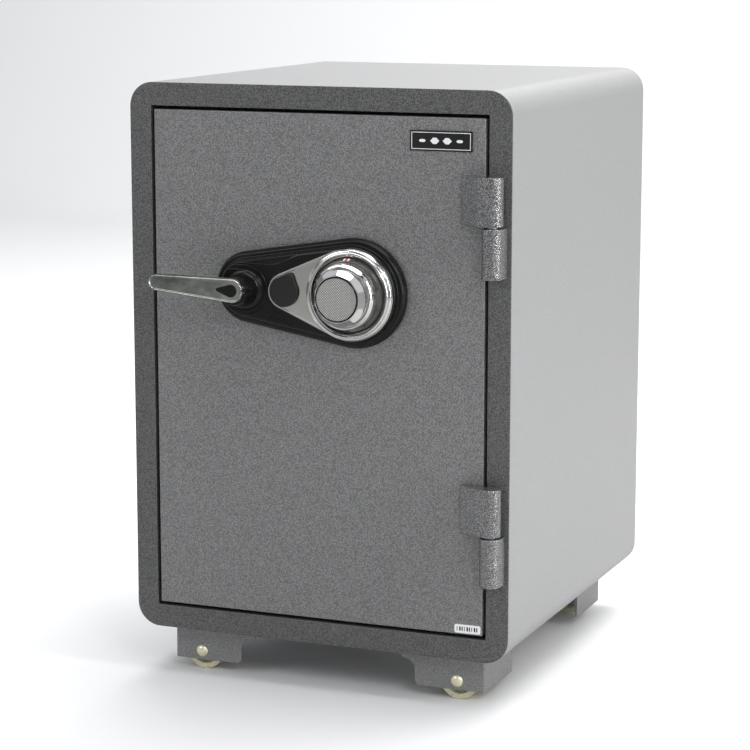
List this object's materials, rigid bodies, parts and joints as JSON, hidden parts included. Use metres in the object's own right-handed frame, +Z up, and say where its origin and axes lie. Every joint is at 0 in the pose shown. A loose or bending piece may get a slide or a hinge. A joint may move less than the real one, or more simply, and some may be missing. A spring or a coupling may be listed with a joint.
{
  "type": "fire-resistant safe",
  "caption": "Upright insulated steel safe with a hinged door, combination dial, lever handle, key lock, barrel hinges and roller feet.",
  "frame": {"origin": "on the floor, under the middle of the whole safe's box", "axes": "+Z up; the door and its furniture face -Y; +X is to the right of someone facing the door"},
  "size_m": [0.35, 0.426, 0.527],
  "materials": {
    "shell_paint": "hammertone enamel, light grey",
    "frame_paint": "hammertone enamel, dark metallic grey",
    "door_paint": "hammertone enamel, mid metallic grey",
    "hinge_paint": "hammertone enamel, silver grey",
    "lining_paint": "smooth light grey enamel",
    "insulation": "cast lightweight insulating concrete",
    "seal_rubber": "soft black strip",
    "steel": "bright zinc-plated steel",
    "yellow_zinc": "pale yellow zinc plating",
    "bright_chrome": "polished chrome",
    "black_gloss": "semi-gloss black moulding",
    "dial_black": "matt black with white graduations",
    "plate_black": "black badge with a plain border"
  },
  "bodies": {
    "body": {"outer_shell": "shell_paint", "back_panel": "shell_paint", "front_frame": "frame_paint", "body_insulation": "insulation", "inner_liner": "lining_paint", "frame_seal": "seal_rubber", "shelf_rails": "steel", "shelf": "lining_paint", "foot_front_left": "frame_paint", "foot_front_right": "frame_paint", "foot_rear_left": "frame_paint", "foot_rear_right": "frame_paint", "wheel_axles": "yellow_zinc", "frame_knuckles": "hinge_paint", "hinge_pins": "steel"},
    "door": {"door_skin": "door_paint", "door_insulation": "insulation", "door_back_pan": "lining_paint", "door_cover": "lining_paint", "door_screws": "steel", "door_knuckles": "hinge_paint", "hinge_side_bar": "steel", "nameplate": "plate_black", "escutcheon": "black_gloss", "trim_plate": "bright_chrome", "dial_bezel": "bright_chrome", "key_lock_body": "bright_chrome", "cover_rivet": "bright_chrome", "mechanism_plate": "steel", "bolt_bushes": "steel", "guide_studs": "steel", "spindle_tubes": "steel", "lock_case": "yellow_zinc", "lock_cover": "yellow_zinc", "lock_screws": "steel", "wheel_post": "steel"},
    "handle": {"handle_lever": "bright_chrome", "handle_inset": "black_gloss", "handle_hub": "black_gloss", "handle_spindle": "steel", "handle_crank": "steel"},
    "bolt_work": {"bolt_bar": "steel", "locking_bolts": "bright_chrome"},
    "dial": {"dial_knob": "bright_chrome", "dial_ring": "dial_black", "knob_disc": "bright_chrome", "dial_spindle": "steel", "drive_cam": "steel"},
    "wheel_1": {"tumbler_1": "yellow_zinc"},
    "wheel_2": {"tumbler_2": "yellow_zinc"},
    "wheel_3": {"tumbler_3": "yellow_zinc"},
    "fence_slide": {"lock_bolt": "yellow_zinc"},
    "fence_arm": {"lock_lever": "steel"},
    "key_barrel": {"key_plug": "yellow_zinc", "key_cam": "steel"},
    "key_flap": {"key_cover": "black_gloss"},
    "castor_front_left": {"wheel_front_left": "yellow_zinc"},
    "castor_front_right": {"wheel_front_right": "yellow_zinc"},
    "castor_rear_left": {"wheel_rear_left": "yellow_zinc"},
    "castor_rear_right": {"wheel_rear_right": "yellow_zinc"}
  },
  "joints": [
    {"name": "door_swing", "type": "hinge", "parent": "body", "child": "door", "pos_m": [0.162, -0.177, 0.285], "axis": [0, 0, 1], "range_deg": [0, 175]},
    {"name": "handle_turn", "type": "hinge", "parent": "door", "child": "handle", "pos_m": [-0.06, -0.187, 0.354], "axis": [0, -1, 0], "range_deg": [0, 60]},
    {"name": "bolt_slide", "type": "slide", "parent": "door", "child": "bolt_work", "axis": [-1, 0, 0], "range_m": [0, 0.02]},
    {"name": "dial_turn", "type": "hinge", "parent": "door", "child": "dial", "pos_m": [0.037, -0.187, 0.354], "axis": [0, -1, 0], "continuous": true},
    {"name": "wheel_1_turn", "type": "hinge", "parent": "door", "child": "wheel_1", "pos_m": [0.037, -0.187, 0.354], "axis": [0, -1, 0], "continuous": true},
    {"name": "wheel_2_turn", "type": "hinge", "parent": "door", "child": "wheel_2", "pos_m": [0.037, -0.187, 0.354], "axis": [0, -1, 0], "continuous": true},
    {"name": "wheel_3_turn", "type": "hinge", "parent": "door", "child": "wheel_3", "pos_m": [0.037, -0.187, 0.354], "axis": [0, -1, 0], "continuous": true},
    {"name": "lock_bolt_slide", "type": "slide", "parent": "door", "child": "fence_slide", "axis": [0, 0, 1], "range_m": [0, 0.009]},
    {"name": "fence_lift", "type": "hinge", "parent": "fence_slide", "child": "fence_arm", "pos_m": [0.057, -0.104, 0.384], "axis": [0, -1, 0], "range_deg": [0, 5]},
    {"name": "key_turn", "type": "hinge", "parent": "door", "child": "key_barrel", "pos_m": [-0.0225, -0.183, 0.354], "axis": [0, 1, 0], "range_deg": [0, 90]},
    {"name": "key_cover_swing", "type": "hinge", "parent": "door", "child": "key_flap", "pos_m": [-0.017, -0.184, 0.367], "axis": [0, 1, 0], "range_deg": [0, 110]},
    {"name": "castor_front_left_roll", "type": "hinge", "parent": "body", "child": "castor_front_left", "pos_m": [-0.122, -0.132, 0.018], "axis": [0, 1, 0], "continuous": true},
    {"name": "castor_front_right_roll", "type": "hinge", "parent": "body", "child": "castor_front_right", "pos_m": [0.122, -0.132, 0.018], "axis": [0, 1, 0], "continuous": true},
    {"name": "castor_rear_left_roll", "type": "hinge", "parent": "body", "child": "castor_rear_left", "pos_m": [-0.122, 0.168, 0.018], "axis": [0, 1, 0], "continuous": true},
    {"name": "castor_rear_right_roll", "type": "hinge", "parent": "body", "child": "castor_rear_right", "pos_m": [0.122, 0.168, 0.018], "axis": [0, 1, 0], "continuous": true}
  ],
  "couplings": [
    {"joint": "bolt_slide", "follows": "handle_turn", "m_per_rad": 0.019098},
    {"joint": "wheel_1_turn", "follows": "dial_turn", "ratio": 1},
    {"joint": "wheel_2_turn", "follows": "dial_turn", "ratio": 1},
    {"joint": "wheel_3_turn", "follows": "dial_turn", "ratio": 1}
  ]
}
